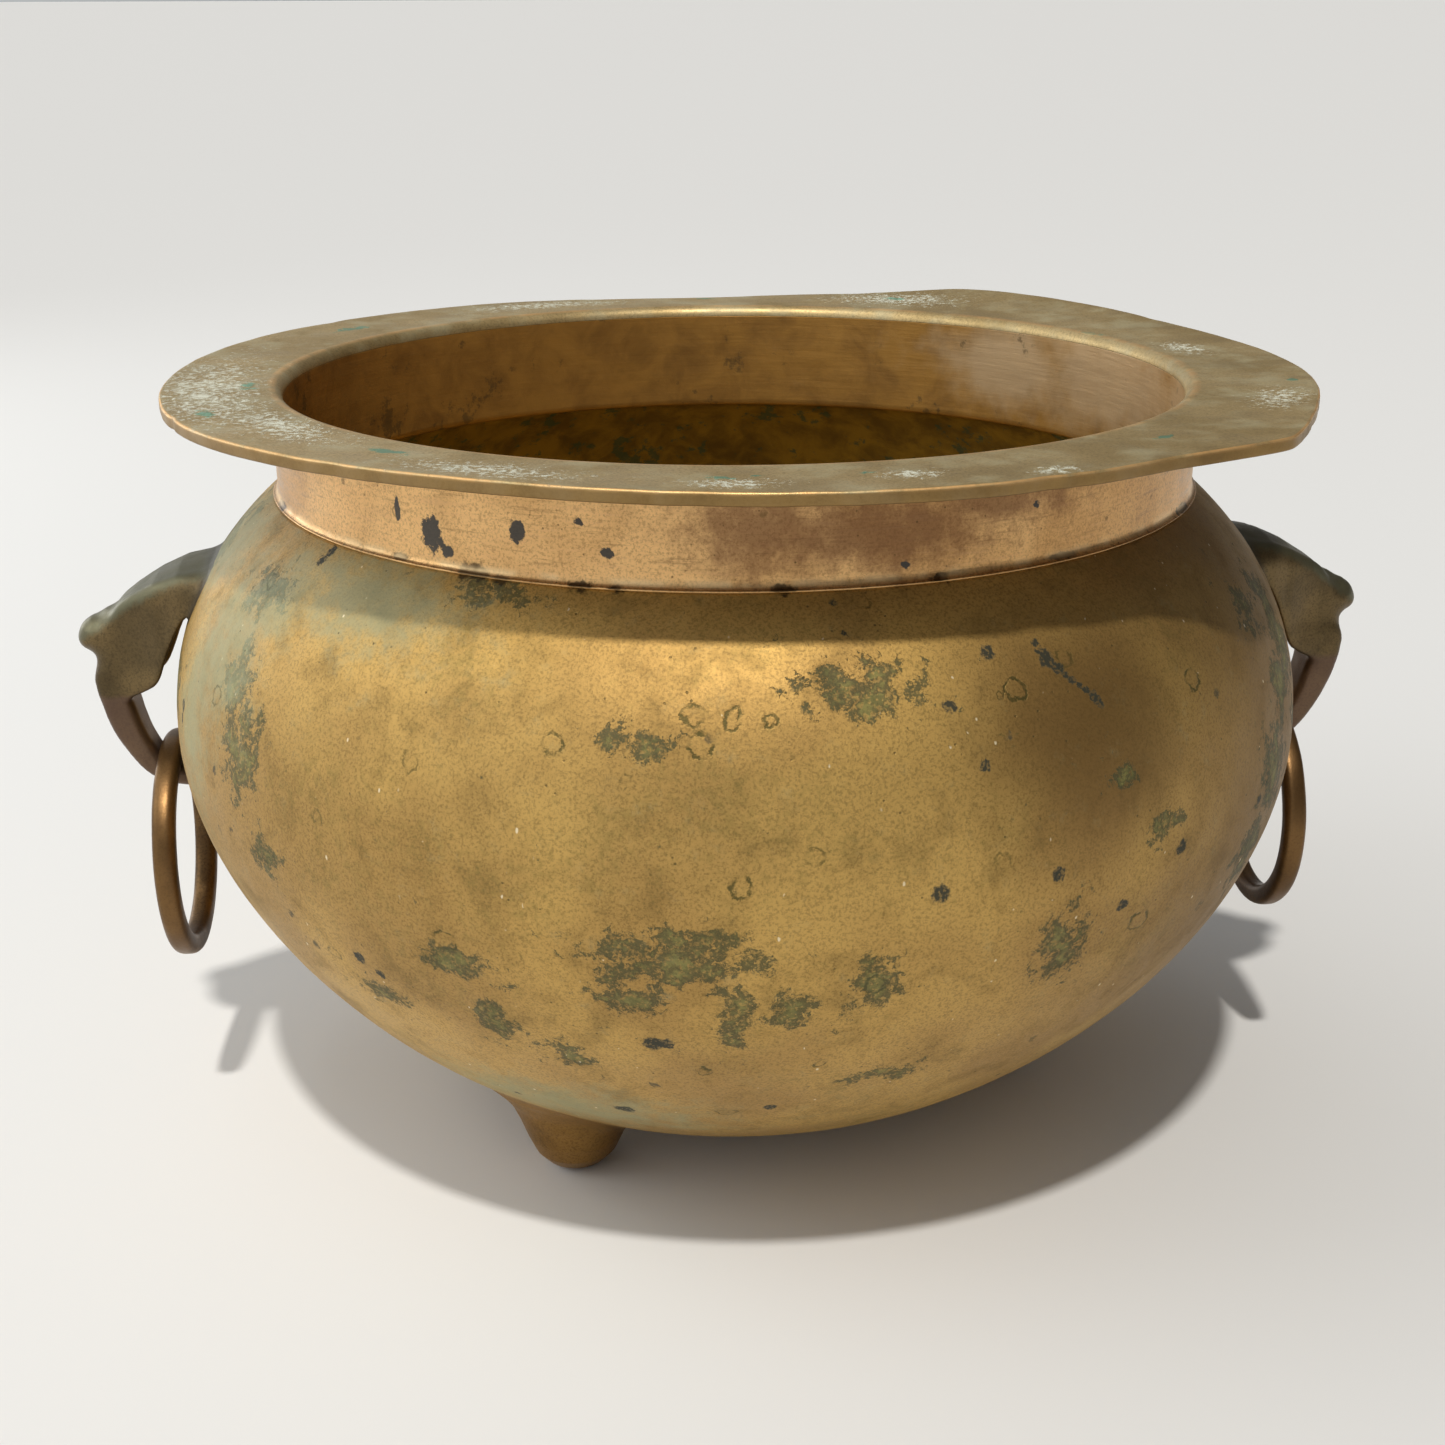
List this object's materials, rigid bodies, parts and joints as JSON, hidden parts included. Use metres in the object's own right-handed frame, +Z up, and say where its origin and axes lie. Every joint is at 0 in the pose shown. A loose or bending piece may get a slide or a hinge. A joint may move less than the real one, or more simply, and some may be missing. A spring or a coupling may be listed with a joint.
{
  "type": "footed brass bowl with ring handles",
  "caption": "Round-bellied cast-brass bowl with a straight neck, wide flat rim, short nub feet and beast-head handles that carry loose swinging rings.",
  "frame": {"origin": "on the floor that the feet stand on, on the bowl's vertical axis", "axes": "+Z up along the bowl's axis, +X through the right handle, -Y towards the front"},
  "size_m": [0.3204, 0.274, 0.184],
  "materials": {
    "belly_brass": "aged golden-brown, finely mottled, with olive-green patches and dark spots",
    "neck_brass": "brighter coppery brass with fine horizontal turning marks",
    "rim_brass": "dull brown brass with pale verdigris flecks and a worn bright edge",
    "foot_brass": "aged golden-brown, darker towards the root",
    "handle_brass": "dark brown patina, purplish on the trunk and greenish on top",
    "ring_brass": "dark brown patina, rubbed lighter outside"
  },
  "bodies": {
    "bowl": {"bowl_body": "belly_brass", "neck_collar": "neck_brass", "rim_flange": "rim_brass", "foot_front": "foot_brass", "foot_right": "foot_brass", "foot_back": "foot_brass", "handle_left": "handle_brass", "handle_right": "handle_brass"},
    "ring_right": {"ring_right": "ring_brass"},
    "ring_left": {"ring_left": "ring_brass"}
  },
  "joints": [
    {"name": "ring_right_swing", "type": "hinge", "parent": "bowl", "child": "ring_right", "pos_m": [0.14, 0, 0.0935], "axis": [0, -1, 0], "range_deg": [-22, 170]},
    {"name": "ring_left_swing", "type": "hinge", "parent": "bowl", "child": "ring_left", "pos_m": [-0.14, 0, 0.0935], "axis": [0, 1, 0], "range_deg": [-22, 170]}
  ]
}
